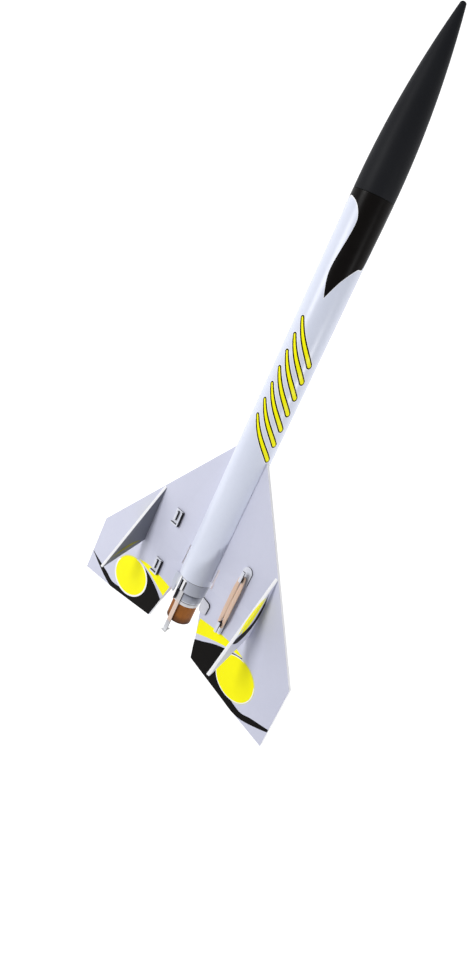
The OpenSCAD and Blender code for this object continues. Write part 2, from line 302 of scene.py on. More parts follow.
M = {
    "tube": paint("tube_paint", srgb(221, 226, 240), srgb(210, 215, 232), rough=0.34, grain_strength=0.05),
    "wing": paint("wing_paint", srgb(210, 212, 228), srgb(199, 201, 220), rough=0.5, grain=(9, 9, 0.5),
                  grain_strength=0.16),
    "fin": paint("fin_paint", srgb(206, 208, 224), srgb(195, 197, 214), rough=0.5, grain=(4, 9, 0.5),
                 grain_strength=0.16),
    # brighter white for rims: on the wing and fin sheets partly the bare edge and partly painted highlight,
    # on the collar painted highlight
    "edge": paint("edge_white_painted_highlight", srgb(250, 250, 250), srgb(236, 236, 240), rough=0.55, grain=(2, 12, 2),
                  grain_strength=0.25),
    "nose": gloss_plastic("nose_black", srgb(34, 35, 38), srgb(26, 27, 30), rough=0.42, parting=True,
                          coat=0.0, specular=0.06),
    "plug": gloss_plastic("plug_black", srgb(34, 34, 37), srgb(24, 24, 26), rough=0.45),
    "hook": gloss_plastic("hook_plastic", srgb(226, 228, 236), srgb(206, 209, 222), rough=0.2),
    "tab": gloss_plastic("tab_plastic", srgb(214, 214, 222), srgb(196, 198, 210), rough=0.3),
    "collar": gloss_plastic("collar_grey", srgb(196, 200, 213), srgb(180, 184, 198), rough=0.32),
    # the mount's bands along Z are painted shade and highlight: dark below the collar and in a thin line
    # behind the sleeve's rear rim as painted shadows, a bright band at that rim as a painted highlight; the
    # pale band at the rear end is the cut paper lip
    "mount": by_height("mount_grey", [
        (-20, srgb(222, 222, 224)), (-17.8, srgb(206, 206, 210)), (-17.3, srgb(70, 70, 78)),
        (-16.9, srgb(70, 72, 80)), (-16.6, srgb(226, 228, 236)), (-16, srgb(168, 172, 184)),
        (-12, srgb(160, 164, 178)), (-10.6, srgb(104, 108, 122)), (-9.8, srgb(52, 55, 66)),
        (0, srgb(80, 82, 90)),
    ]),
    # the strip's bands along Z: the pinkish band where it lies over the motor casing is a painted reflection
    # of the casing; it is lighter towards its tip
    "hook_strip": by_height("hook_strip", [
        (-43.4, srgb(250, 250, 250)), (-41.6, srgb(228, 230, 234)), (-36, srgb(206, 206, 210)),
        (-34, srgb(236, 208, 190)), (-20, srgb(240, 216, 200)), (-17, srgb(226, 224, 226)),
        (4, srgb(216, 217, 222)),
    ], rough=0.3, metal_share=0.2),
    "steel": metal("spring_steel", srgb(238, 232, 232), srgb(214, 206, 206), share=0.35),
    # the fins' inboard faces are painted darker as painted shade
    "fin_inner": paint("fin_inner_painted_shade", srgb(120, 123, 134), srgb(108, 111, 122), rough=0.5,
                       grain=(4, 9, 0.5), grain_strength=0.16),
    # near-black used as painted shade on the shaded sides of the hooks, latch tabs and engine hook and in the
    # collar's recesses
    "shade": gloss_plastic("painted_shade_near_black", srgb(38, 38, 42), srgb(26, 26, 29), rough=0.35, coat=0.0,
                           specular=0.2),
    "glow": film("decal_yellow_fade", srgb(234, 230, 84), srgb(229, 226, 98)),
    # yellow for the fins' inboard print, darkened as painted shade
    "yellow_in_painted_shade": film("decal_yellow_inner_painted_shade", srgb(158, 154, 66), srgb(146, 143, 72)),
    "haze": film("decal_yellow_haze", srgb(219, 219, 150), srgb(215, 216, 162)),
    "kraft": paper("casing_paper", srgb(172, 104, 36), srgb(132, 76, 20), burn=(MOTOR_LOW.z, 0.006)),
    "ring": paper("ring_paper", srgb(196, 170, 130), srgb(170, 142, 104)),
    "rim": powdery("cut_paper", srgb(232, 226, 214), srgb(214, 205, 190), rough=0.8),
    "clay": powdery("clay", srgb(160, 150, 138), srgb(128, 118, 106)),
    "grain": powdery("black_grain", srgb(46, 45, 44), srgb(28, 27, 27)),
    "band": rubber("band_rubber", srgb(226, 200, 180), srgb(206, 172, 148)),
    "elastic": rubber("elastic", srgb(226, 218, 224), srgb(208, 198, 206)),
    "yellow": film("decal_yellow", srgb(255, 250, 10), srgb(251, 244, 6)),
    "black": film("decal_black", srgb(14, 12, 11), srgb(20, 18, 17), specular=0.06),
    "white": film("decal_white", srgb(250, 250, 250), srgb(238, 238, 244)),
    "film": paint("hinge_film", srgb(212, 214, 230), srgb(203, 205, 223), rough=0.3, grain_strength=0.05),
}


# ---------------------------------------------------------------- mesh helpers
def finish_object(name, bm, material, body, smooth=40.0, extra=()):
    """Turns a bmesh into a named piece that rides on a body."""
    bmesh.ops.recalc_face_normals(bm, faces=bm.faces)
    mesh = bpy.data.meshes.new(name)
    bm.to_mesh(mesh)
    bm.free()
    mesh.materials.append(M[material])
    for other in extra:
        mesh.materials.append(M[other])
    for face in mesh.polygons:
        face.use_smooth = True
    mesh.set_sharp_from_angle(angle=math.radians(smooth))
    made = bpy.data.objects.new(name, mesh)
    bpy.context.scene.collection.objects.link(made)
    if body:
        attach(made, body)
    return made


def in_gap(x, z):
    """True beside the hinge line or beside the elevon's outer edge, where sheets meet and stay sharp."""
    x = abs(x)
    beside_hinge = abs(z - HINGE_Z) < 0.5 * MM and x < ELEVON_HIGH.x + 1 * MM
    beside_edge = abs(x - ELEVON_HIGH.x) < 0.6 * MM and z < HINGE_Z + 0.5 * MM
    return beside_hinge or beside_edge


def rounded_copy(node, name, material, body, width=0.3, segments=3, edge=None, angle=30, is_edge=None,
                 gaps=False):
    """The CAD node's own shape with its sharp edges rounded over, shown in the node's place."""
    bm = bmesh.new()
    bm.from_mesh(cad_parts[node].data)
    bmesh.ops.remove_doubles(bm, verts=bm.verts, dist=1e-6)
    bmesh.ops.dissolve_limit(bm, angle_limit=math.radians(1.0), verts=bm.verts, edges=bm.edges)
    sharp = [e for e in bm.edges if len(e.link_faces) == 2 and e.calc_face_angle(0) > math.radians(angle)]
    if gaps:
        sharp = [e for e in sharp if not all(in_gap(v.co.x, v.co.z) for v in e.verts)]
    bmesh.ops.bevel(bm, geom=sharp, offset=width * MM, segments=segments, profile=0.5, affect="EDGES",
                    clamp_overlap=True)
    if edge:
        for face in bm.faces:
            face.normal_update()
            face.material_index = int(is_edge(face))
    made = finish_object(name, bm, material, body, extra=edge or ())
    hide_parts(node)
    return made


def outer_rim(face):
    """Rim faces of a wing sheet, apart from those inside its gaps."""
    centre = face.calc_center_median()
    return abs(face.normal.y) < 0.6 and not in_gap(centre.x, centre.z)


def painted_shade_side(face):
    """Side faces turned to +X or to the nose, painted dark as shade on the small fittings."""
    return face.normal.x > 0.6 or face.normal.z > 0.8


def painted_shade_rim(face):
    """Side faces of the latch tab painted dark as shade: all but those turned to -X."""
    return abs(face.normal.y) < 0.5 and face.normal.x > -0.3


def collar_zone(face):
    """0 for the collar's outer wall, 1 for its rims and rail painted bright as highlight, 2 for its inner
    faces, spigot and rearward faces painted dark as shade.
    """
    centre = face.calc_center_median()
    radius = math.hypot(centre.x, centre.y)
    angle = math.degrees(math.atan2(centre.x, -centre.y))
    on_rail = -22 < angle < -11.5 and radius > 9.7 * MM
    if centre.z > -0.42 * MM or face.normal.z < -0.8:
        return 2
    if on_rail:
        return 2 if face.normal.x > 0.6 else 1
    if radius > 11.8 * MM:
        near_slit = -5.1 < angle < 9.3
        return 1 if near_slit or centre.z < COLLAR_REAR + 0.35 * MM else 0
    return 2 if -12 < angle < 16 else 0


def lathe(profile, segments=128, centre=(0.0, 0.0), closed=True):
    """Surface of revolution round Z from (radius, z) points; closed joins the last point to the first."""
    bm = bmesh.new()
    rings = []
    for radius, z in profile:
        if radius < 1e-7:
            rings.append([bm.verts.new((centre[0], centre[1], z))])
            continue
        ring = []
        for i in range(segments):
            a = 2 * math.pi * i / segments
            ring.append(bm.verts.new((centre[0] + radius * math.cos(a), centre[1] + radius * math.sin(a), z)))
        rings.append(ring)
    pairs = list(zip(rings, rings[1:]))
    if closed:
        pairs.append((rings[-1], rings[0]))
    for low, high in pairs:
        if len(low) == 1 and len(high) == 1:
            continue
        for i in range(segments):
            j = (i + 1) % segments
            if len(low) == 1:
                bm.faces.new((low[0], high[j], high[i]))
            elif len(high) == 1:
                bm.faces.new((low[i], low[j], high[0]))
            else:
                bm.faces.new((low[i], low[j], high[j], high[i]))
    return bm


def tube_profile(outer, inner, low, high, round_over):
    """Closed (radius, z) outline of a tube wall with rounded rims."""
    r = round_over
    return [
        (inner, low + r), (inner + 0.3 * r, low + 0.3 * r), (inner + r, low),
        (outer - r, low), (outer - 0.3 * r, low + 0.3 * r), (outer, low + r),
        (outer, high - r), (outer - 0.3 * r, high - 0.3 * r), (outer - r, high),
        (inner + r, high), (inner + 0.3 * r, high - 0.3 * r), (inner, high - r),
    ]


def smooth_line(points, steps=8, closed=True):
    """Catmull-Rom curve through points; a point written (a, b, 1) stays a sharp corner."""
    n = len(points)
    made = []
    spans = n if closed else n - 1
    for i in range(spans):
        p1, p2 = points[i], points[(i + 1) % n]
        p0 = points[i - 1] if (closed or i > 0) else p1
        p3 = points[(i + 2) % n] if (closed or i + 2 < n) else p2
        if len(p1) == 3:
            p0 = p1
        if len(p2) == 3:
            p3 = p2
        for k in range(steps):
            t = k / steps
            point = []
            for axis in (0, 1):
                a, b, c, d = p0[axis], p1[axis], p2[axis], p3[axis]
                point.append(0.5 * (2 * b + (c - a) * t + (2 * a - 5 * b + 4 * c - d) * t * t
                                    + (3 * b - a - 3 * c + d) * t ** 3))
            made.append(tuple(point))
    if not closed:
        made.append(points[-1][:2])
    return made


def oval(centre, half, turn, start=0, end=360, steps=48):
    """Points of an ellipse from one angle to another, in degrees, with its long axis turned by turn."""
    made = []
    c, s = math.cos(math.radians(turn)), math.sin(math.radians(turn))
    for i in range(steps):
        a = math.radians(start + (end - start) * i / steps)
        u, v = half[0] * math.cos(a), half[1] * math.sin(a)
        made.append((centre[0] + u * c - v * s, centre[1] + u * s + v * c))
    return made


def area_of(outline):
    return 0.5 * sum(a[0] * b[1] - b[0] * a[1] for a, b in zip(outline, outline[1:] + outline[:1]))


def grown(outline, amount):
    """The outline moved outwards by amount."""
    turn = 1 if area_of(outline) > 0 else -1
    made = []
    n = len(outline)
    for i in range(n):
        a, b, c = outline[i - 1], outline[i], outline[(i + 1) % n]
        d1 = Vector((b[0] - a[0], b[1] - a[1]))
        d2 = Vector((c[0] - b[0], c[1] - b[1]))
        if d1.length < 1e-9 or d2.length < 1e-9:
            continue
        n1 = Vector((d1.y, -d1.x)).normalized() * turn
        n2 = Vector((d2.y, -d2.x)).normalized() * turn
        mid = n1 + n2
        if mid.length < 1e-6:
            mid = n1
        mid.normalize()
        reach = amount / max(0.45, mid.dot(n1))
        made.append((b[0] + mid.x * reach, b[1] + mid.y * reach))
    return made


def flat_sheet(outline, cuts=()):
    """A filled flat outline in the XY plane; each (point, normal) cut keeps the side it points to."""
    bm = bmesh.new()
    corners = [Vector((x / MM, y / MM)) for x, y in outline]
    filled = geometry.delaunay_2d_cdt(corners, [], [list(range(len(corners)))], 1, 1e-4)
    made = [bm.verts.new((v.x * MM, v.y * MM, 0)) for v in filled[0]]
    for face in filled[2]:
        bm.faces.new([made[i] for i in face])
    for point, normal in cuts:
        everything = bm.verts[:] + bm.edges[:] + bm.faces[:]
        bmesh.ops.bisect_plane(bm, geom=everything, plane_co=(*point, 0), plane_no=(*normal, 0),
                               clear_inner=True)
    return bm


def thicken(bm, place, low, high):
    """Gives a flat bmesh two skins and a rim; place(x, y, h) puts a point at height h over the surface."""
    flat = [(v.co.x, v.co.y) for v in bm.verts]
    bm.verts.index_update()
    faces = [[v.index for v in f.verts] for f in bm.faces]
    rim = [[v.index for v in e.verts] for e in bm.edges if len(e.link_faces) == 1]
    bm.free()
    made = bmesh.new()
    top = [made.verts.new(place(x, y, high)) for x, y in flat]
    base = [made.verts.new(place(x, y, low)) for x, y in flat]
    for f in faces:
        made.faces.new([top[i] for i in f])
        made.faces.new([base[i] for i in reversed(f)])
    for a, b in rim:
        made.faces.new((top[a], top[b], base[b], base[a]))
    return made


DECAL_SINK = -0.02 * MM


def decal_top(layer):
    """Height of a decal's upper skin; a higher layer lies over a lower one."""
    return (0.03 + 0.03 * layer) * MM


def tube_decal(name, outline, material, layer, body="airframe", step=4.0):
    """A decal wrapped round the body tube; the outline is (degrees from the upper side, height in mm)."""
    reach = math.radians(1.0) * TUBE_R
    bm = flat_sheet([(math.radians(a) * TUBE_R, z * MM) for a, z in outline])
    low = min(a for a, z in outline)
    high = max(a for a, z in outline)
    count = int((high - low) / step)
    for i in range(1, count + 1):
        x = (low + i * step) * reach
        everything = bm.verts[:] + bm.edges[:] + bm.faces[:]
        bmesh.ops.bisect_plane(bm, geom=everything, plane_co=(x, 0, 0), plane_no=(1, 0, 0))

    def place(x, z, h):
        a = x / TUBE_R
        return ((TUBE_R + h) * math.sin(a), -(TUBE_R + h) * math.cos(a), z)

    made = thicken(bm, place, DECAL_SINK, decal_top(layer))
    return finish_object(name, made, material, body, smooth=50)


SIDE = {"right": 1, "left": -1}
# edges of the wing that a decal stops at, each a point in metres and a direction into the sheet
NOTCH_FRONT = ((0.0145, -0.0173), (0.9615, 0.2747))
NOTCH_REAR = ((0.0201, -0.0355), (0.9739, 0.2270))
WING_REAR = ((0, -0.0473), (0.1528, 0.98825))
WING_TIP = ((0.0983, 0), (-1, 0))


def wing_cuts(part, side):
    """Half planes that keep a decal on the elevon or on the fixed wing outboard of it, for x > 0."""
    joint = ELEVON_HIGH.x + (GAP - 0.01 * MM if side == "right" else 0)
    if part == "elevon":
        return [((joint, 0), (-1, 0)), NOTCH_FRONT, NOTCH_REAR, WING_REAR]
    return [((joint + 0.01 * MM, 0), (1, 0)), WING_TIP, WING_REAR]


def wing_decal(name, outline, material, layer, side, part, more_cuts=()):
    """A decal on the upper face of a wing; the outline is (x, z) in mm with x counted outwards."""
    bm = flat_sheet([(x * MM, z * MM) for x, z in outline], wing_cuts(part, side) + list(more_cuts))
    if not bm.faces:
        bm.free()
        return None
    sign = SIDE[side]

    def place(x, z, h):
        return (sign * x, -WING_FACE - h, z)

    made = thicken(bm, place, DECAL_SINK, decal_top(layer))
    body = ("elevon_r" if side == "right" else "elevon_l") if part == "elevon" else "airframe"
    return finish_object(name, made, material, body)


# ---------------------------------------------------------------- camera and stage
CAMERA_LENS = 25.173
CAMERA_PLACE = (0.22809, -0.34209, 0.21641)
CAMERA_TURN = (69.303, -23.298, 42.781)  # degrees about X, Y and Z

camera_data = bpy.data.cameras.new("camera")
camera_data.sensor_width = 36.0
camera_data.lens = CAMERA_LENS
camera = bpy.data.objects.new("camera", camera_data)
camera.location = CAMERA_PLACE
camera.rotation_euler = Euler([math.radians(angle) for angle in CAMERA_TURN], "XYZ")
bpy.context.scene.collection.objects.link(camera)
bpy.context.scene.camera = camera


FAR_SIDE = (-0.5633, 0.8263)  # level direction towards the brighter side of the stage
GLOW_NEAR, GLOW_FAR = 0.16, 0.93


def stage():
    """A floor that curves up into a wall all round; it glows as a light source, more on its far side, and its
    colour is darker on its near side than on its pale far side.
    """
    s = Shader("floor", rough=0.8, specular=0.1)
    parts = s.node("ShaderNodeSeparateXYZ")
    s.links.new(s.place, parts.inputs[0])
    across = s.math("MULTIPLY", parts.outputs["X"], FAR_SIDE[0])
    depth = s.math("ADD", across, s.math("MULTIPLY", parts.outputs["Y"], FAR_SIDE[1]))
    far = s.node("ShaderNodeMapRange", interpolation_type="SMOOTHSTEP")
    far.inputs["From Min"].default_value = -1.0
    far.inputs["From Max"].default_value = 0.05
    s.links.new(depth, far.inputs["Value"])
    pale = s.blend_colour(s.spread(s.noise(3, 3), 0, 1), srgb(150, 150, 151), srgb(146, 146, 148))
    s.colour(s.blend_colour(far.outputs[0], srgb(112, 113, 116), pale))
    s.bsdf.inputs["Emission Color"].default_value = (1, 1, 1, 1)
    s.links.new(s.spread(far.outputs[0], GLOW_NEAR, GLOW_FAR), s.bsdf.inputs["Emission Strength"])
    floor_z, flat_r, bend, wall_top = -0.5, 1.7, 0.9, 3.0
    profile = [(0, floor_z), (flat_r, floor_z)]
    for i in range(1, 17):
        a = math.radians(90 * i / 16)
        profile.append((flat_r + bend * math.sin(a), floor_z + bend * (1 - math.cos(a))))
    profile.append((flat_r + bend, wall_top))
    bm = lathe(profile, 96, closed=False)
    mesh = bpy.data.meshes.new("floor")
    bm.to_mesh(mesh)
    bm.free()
    mesh.materials.append(s.material)
    for face in mesh.polygons:
        face.use_smooth = True
    floor = bpy.data.objects.new("floor", mesh)
    bpy.context.scene.collection.objects.link(floor)


def area_light(name, place, aim, size, power, spread=180):
    data = bpy.data.lights.new(name, "AREA")
    data.shape = "DISK"
    data.size = size
    data.energy = power
    data.spread = math.radians(spread)
    lamp = bpy.data.objects.new(name, data)
    lamp.location = place
    lamp.rotation_euler = (Vector(aim) - Vector(place)).to_track_quat("-Z", "Y").to_euler()
    bpy.context.scene.collection.objects.link(lamp)


stage()
area_light("key", (-0.50, -1.40, 0.6), (0, 0, 0.05), 0.7, 15.5)
area_light("kicker", (1.5, -0.02, 0.01), (0, 0, 0.02), 0.12, 8)
world = bpy.data.worlds.new("world")
world.use_nodes = True
world.node_tree.nodes["Background"].inputs["Color"].default_value = (0.86, 0.92, 1.0, 1)
world.node_tree.nodes["Background"].inputs["Strength"].default_value = 0.15
bpy.context.scene.world = world
bpy.context.scene.view_settings.view_transform = "Standard"


# ---------------------------------------------------------------- body tube and nose
def make_body():
    profile = tube_profile(TUBE_R, TUBE_R - 0.5 * MM, 0, TUBE_TOP, 0.12 * MM)
    tube = finish_object("body_tube_skin", lathe(profile, 160), "tube", "airframe",
                         extra=("rim", "black"))
    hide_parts("body_tube")
    # end and inner faces near the front take the black of the nose-end print; those at the rear end are
    # painted black as the shadow line between the tube and the collar; the other inner faces take cut paper
    for face in tube.data.polygons:
        if abs(face.normal.z) > 0.3 or Vector((face.center.x, face.center.y)).length < TUBE_R - 0.3 * MM:
            at_end = face.center.z > TUBE_TOP - 1 * MM or face.center.z < 0.2 * MM
            face.material_index = 2 if at_end else 1


def ogive_radius(d, length, base):
    """Radius of the nose at distance d ahead of its base: an arc tangent to the tube."""
    arc = (base * base + length * length) / (2 * base)
    return math.sqrt(arc * arc - d * d) - (arc - base)


def make_nose():
    exposed = NOSE_HIGH.z - NOSE_BASE
    tip_r = 1.75 * MM
    body_len = exposed - 1.25 * MM
    sharp_len = 107 * MM
    profile = [(TUBE_R - 0.3 * MM, NOSE_BASE), (TUBE_R - 0.08 * MM, NOSE_BASE + 0.1 * MM)]
    steps = 60
    for i in range(1, steps + 1):
        d = body_len * i / steps
        profile.append((ogive_radius(d, sharp_len, TUBE_R), NOSE_BASE + d))
    tip_base = profile[-1]
    for i in range(1, 9):
        a = math.radians(90 * i / 8)
        profile.append((tip_base[0] * math.cos(a), tip_base[1] + (NOSE_HIGH.z - tip_base[1]) * math.sin(a)))
    shoulder_r = TUBE_R - 0.58 * MM
    front_bore = ogive_radius(80 * MM, sharp_len, TUBE_R) - 1.3 * MM
    profile += [(0, NOSE_BASE + 86 * MM), (front_bore, NOSE_BASE + 78 * MM)]
    for i in range(10, -1, -1):
        d = 70 * MM * i / 10
        profile.append((ogive_radius(d, sharp_len, TUBE_R) - 1.8 * MM, NOSE_BASE + d))
    profile += [(shoulder_r - 1.2 * MM, SHOULDER_Z + 0.2 * MM), (shoulder_r - 0.2 * MM, SHOULDER_Z),
                (shoulder_r, SHOULDER_Z + 0.3 * MM), (shoulder_r, NOSE_BASE)]
    nose = finish_object("nose_shell", lathe(profile, 160), "nose", "nose", smooth=35)
    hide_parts("nose_cone")


make_body()
make_nose()

# ---------------------------------------------------------------- wings, fins, elevons
for side in SIDE:
    elevon_body = "elevon_r" if side == "right" else "elevon_l"
    # the sheets' rims take the brighter white, partly painted highlight
    rounded_copy("wing_" + side, "wing_sheet_" + side, "wing", "airframe", 0.4, 4,
                 edge=("edge",), is_edge=outer_rim, gaps=True)
    rounded_copy("elevon_" + side, "elevon_sheet_" + side, "wing", elevon_body, 0.3, 3,
                 edge=("edge",), is_edge=outer_rim, gaps=True)
    rounded_copy("front_hook_" + side, "hook_front_" + side, "hook", "airframe", 0.2, 3,
                 edge=("shade",), is_edge=painted_shade_side)
    rounded_copy("rear_hook_" + side, "hook_rear_" + side, "hook", elevon_body, 0.2, 3,
                 edge=("shade",), is_edge=painted_shade_side)
    rounded_copy("latch_tab_" + side, "tab_" + side, "tab", elevon_body, 0.15, 2,
                 edge=("shade",), is_edge=painted_shade_rim)
    rounded_copy("strand_" + side, "elastic_" + side, "elastic", "airframe", 0.3, 3)


def make_fin(side):
    """The fin with rounded edges; its rim faces are painted brighter white, partly as painted highlight; its
    outboard face takes the fin paint and its inboard face a darker paint as painted shade.
    """
    node = "fin_" + side
    bm = bmesh.new()
    bm.from_mesh(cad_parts[node].data)
    bmesh.ops.remove_doubles(bm, verts=bm.verts, dist=1e-6)
    bmesh.ops.dissolve_limit(bm, angle_limit=math.radians(1.0), verts=bm.verts, edges=bm.edges)
    sharp = [e for e in bm.edges if len(e.link_faces) == 2 and e.calc_face_angle(0) > math.radians(25)]
    bmesh.ops.bevel(bm, geom=sharp, offset=0.3 * MM, segments=4, profile=0.5, affect="EDGES",
                    clamp_overlap=True)
    for face in bm.faces:
        face.normal_update()
        if abs(face.normal.x) < 0.7:
            face.material_index = 1
        elif face.normal.x * SIDE[side] < 0:
            face.material_index = 2
    fin = finish_object("fin_sheet_" + side, bm, "fin", "airframe", extra=("edge", "fin_inner"))
    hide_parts(node)


make_fin("right")
make_fin("left")

FIN_T = 2.4 * MM
FIN_LEAN = math.atan((FIN_HIGH.x - FIN_LOW.x - FIN_T) / (FIN_HIGH.y - FIN_LOW.y))
FIN_X = FIN_LOW.x + FIN_T / 2 * math.cos(FIN_LEAN)


# edges of the fin in its own plane, in the same way; the root is a little above the wing
FIN_LEADING = ((0, 0.0382), (0.920, -0.391))
FIN_TRAILING = ((0, -0.0053), (-0.627, 0.779))
FIN_ROOT = ((-0.0004, 0), (-1, 0))


def fin_decal(name, outline, material, layer, side, outboard):
    """A decal on one broad face of a fin; the outline is (y, z) in mm with y negative above the wing."""
    cuts = [FIN_LEADING, FIN_TRAILING, FIN_ROOT]
    bm = flat_sheet([((y + 1.2) * MM, z * MM) for y, z in outline], cuts)
    sign = SIDE[side]
    sense = 1 if outboard else -1

    def place(v, z, h):
        u = sense * (FIN_T / 2 + h)
        x = FIN_X + u * math.cos(FIN_LEAN) - v * math.sin(FIN_LEAN)
        y = -WING_FACE + u * math.sin(FIN_LEAN) + v * math.cos(FIN_LEAN)
        return (sign * x, y, z)

    made = thicken(bm, place, DECAL_SINK, decal_top(layer))
    return finish_object(name, made, material, "airframe")


# ---------------------------------------------------------------- decals
def nose_end_decal():
    """Black shape round the front of the tube: one wave, repeated half way round, with two low points."""
    half = [(-74, 225), (-63, 244), (-46, 256), (-8, 255), (16, 249), (21, 241), (10, 220), (13, 211),
            (27, 201, 1), (50, 213), (80, 222)]
    edge = half + [(p[0] + 180,) + tuple(p[1:]) for p in half]
    first, last, front = -74, 286, 260.9
    line = smooth_line(edge + [(last, 225)], 8, closed=False)
    black = line + [(last, front), (first, front)]
    tube_decal("decal_nose_end_black", black, "black", 1)
    halo = grown(line + [(last, front + 1.1), (first, front + 1.1)], 0.55)
    halo = [(min(max(a, first), last), min(z, front)) for a, z in halo]
    tube_decal("decal_nose_end_white", halo, "white", 0)


def slash(name, start, end, sag, width):
    """One slanted stroke on the tube from start to end, (degrees, height in mm), black edged yellow."""
    scale = math.degrees(MM / TUBE_R)
    count = 22
    centre = []
    for i in range(count + 1):
        t = i / count
        a = start[0] + (end[0] - start[0]) * t - sag * math.sin(math.pi * t)
        z = start[1] + (end[1] - start[1]) * t
        centre.append(Vector((a / scale, z)))
    for label, extra, layer in (("white", 1.25, 0), ("black", 0.85, 1), ("yellow", 0.0, 2)):
        left, right = [], []
        for i, p in enumerate(centre):
            t = i / count
            ahead = centre[min(i + 1, count)] - centre[max(i - 1, 0)]
            side = Vector((-ahead.y, ahead.x)).normalized()
            half = width * (0.42 + 0.58 * t) + extra
            left.append(p + side * half)
            right.append(p - side * half)
        cap = []
        for centre_point, ahead, half in (
            (centre[-1], (centre[-1] - centre[-2]).normalized(), width + extra),
            (centre[0], (centre[0] - centre[1]).normalized(), width * 0.42 + extra),
        ):
            arc = []
            side = Vector((-ahead.y, ahead.x))
            for k in range(1, 8):
                angle = math.radians(180 * k / 8)
                arc.append(centre_point + side * half * math.cos(angle) + ahead * half * math.sin(angle))
            cap.append(arc)
        outline = left + cap[0] + right[::-1] + cap[1]
        tube_decal(name + "_" + label, [(p.x * scale, p.y) for p in outline], label, layer, step=5.0)


def tube_slashes():
    count = 7
    for i in range(count):
        top = 186.5 - 10.6 * i
        slash(f"decal_slash_{i + 1}", (-6 - 2.0 * i / count, top), (72 + 1.5 * i, top - 24), 6, 1.25)


# the wing print, x counted outwards; the right one sits a little further out than the left one
OVAL = {"centre": (53.5, -37.5), "half": (16.5, 14), "turn": -10}
CRESCENT = {"centre": (53.5, -38), "half": (17, 12.5), "turn": -10, "start": 110, "end": 285}
STRIPE_LOW = [(99, -45, 1), (85, -52), (70, -57.5), (58, -58, 1)]
BLACK_TOP = [(12, -58, 1), (10, -39, 1), (20, -34), (28, -29.5), (38, -25.5), (52, -22, 1)]
STRIPE_HIGH = [(67, -53.5), (76, -51), (84, -49), (92, -47, 1)]
BAND = [(52, -21.5, 1), (42, -19.5), (26, -20), (10, -22, 1), (10, -34, 1), (24, -28.5), (38, -24)]
SHIFT = {"left": 0.0, "right": 7.6}
RING = {"left": 1.3, "right": 0.6}


def moved(points, dx):
    return [(p[0] + dx,) + tuple(p[1:]) for p in points]


def wing_print(side):
    dx = SHIFT[side]
    black = smooth_line(moved(STRIPE_LOW + BLACK_TOP + oval(**CRESCENT, steps=14) + STRIPE_HIGH, dx), 6)
    yellow = moved(oval(**OVAL), dx)
    band = smooth_line(moved(BAND, dx), 6)
    backing = grown(yellow, RING[side])
    beside_black = [(((52 + dx) * MM, -22 * MM), (-0.53, -0.85))]
    for part in ("elevon", "wing"):
        wing_decal(f"decal_black_{side}_{part}", black, "black", 1, side, part)
        wing_decal(f"decal_yellow_{side}_{part}", yellow, "yellow", 2, side, part)
        wing_decal(f"decal_band_{side}_{part}", band, "yellow", 2, side, part)
        wing_decal(f"decal_white_{side}_{part}", backing, "white", 1.5, side, part, beside_black)
        wing_decal(f"decal_glow_{side}_{part}", grown(yellow, 0.5), "glow", 0.1, side, part)
        wing_decal(f"decal_haze_{side}_{part}", grown(yellow, 1.0), "haze", 0, side, part)


FIN_YELLOW = [(-5, 26, 1), (-7, 13.5), (-10.5, 3.5), (-14.5, -0.5, 1), (-15, 7), (-11, 17.5)]
FIN_BLACK = [(-4, 28, 1), (-1, 14), (-5, 1), (-14, -7), (-22, -5.5, 1), (-14.5, 0), (-7, 6), (-4.5, 16)]
FIN_TAIL = [(-5, -6, 1), (-16, -13.5), (-26.5, -21, 1), (-14, -9.5)]


def edge_wrap(name, outline, material, side):
    """Yellow turned over the fin's leading edge; the outline is (way down the edge, side step) in mm."""
    along = Vector((-0.391, -0.920))
    out = Vector((-0.920, 0.391))
    bm = flat_sheet([(a * MM, u * MM) for a, u in outline])
    sign = SIDE[side]

    def place(a, u, h):
        p = Vector((0, FIN_HIGH.z)) + along * a + out * h
        x = FIN_X + u * math.cos(FIN_LEAN) - p.x * math.sin(FIN_LEAN)
        y = -WING_FACE + u * math.sin(FIN_LEAN) + p.x * math.cos(FIN_LEAN)
        return (sign * x, y, p.y)

    return finish_object(name, thicken(bm, place, -0.25 * MM, 0.05 * MM), material, "airframe")


WRAP = [(14, 1.15, 1), (19, 0.35), (26, -0.15), (33, -0.1), (38, 0.35), (42.5, 1.15, 1)]


def fin_print():
    edge_wrap("decal_fin_edge_right", smooth_line(WRAP, 6), "yellow", "right")
    for side in SIDE:
        for colour, outline, layer in (("yellow", FIN_YELLOW, 1), ("black", FIN_BLACK, 2)):
            fin_decal(f"decal_fin_{colour}_{side}", smooth_line(outline, 6), colour, layer, side, True)
        # the inboard print takes the yellow darkened as painted shade
        fin_decal(f"decal_fin_tail_{side}", smooth_line(FIN_TAIL, 6), "yellow_in_painted_shade", 1, side, False)


fin_print()
nose_end_decal()
tube_slashes()
wing_print("left")
wing_print("right")


# ---------------------------------------------------------------- bands
def sweep(points, up=Vector((0, 1, 0))):
    """Flat rounded strip along a closed line of (point, half width, half height)."""
    bm = bmesh.new()
    shape = []
    for k in range(12):
        a = 2 * math.pi * k / 12
        c, s = math.cos(a), math.sin(a)
        shape.append((math.copysign(abs(c) ** 0.6, c), math.copysign(abs(s) ** 0.6, s)))
    rings = []
    for i, (p, half_width, half_height) in enumerate(points):
        ahead = (points[(i + 1) % len(points)][0] - points[i - 1][0]).normalized()
        across = ahead.cross(up).normalized()
        rings.append([bm.verts.new(p + across * half_width * a + up * half_height * b) for a, b in shape])
    for i in range(len(rings)):
        low, high = rings[i], rings[(i + 1) % len(rings)]
        for k in range(12):
            j = (k + 1) % 12
            bm.faces.new((low[k], low[j], high[j], high[k]))
    return bm


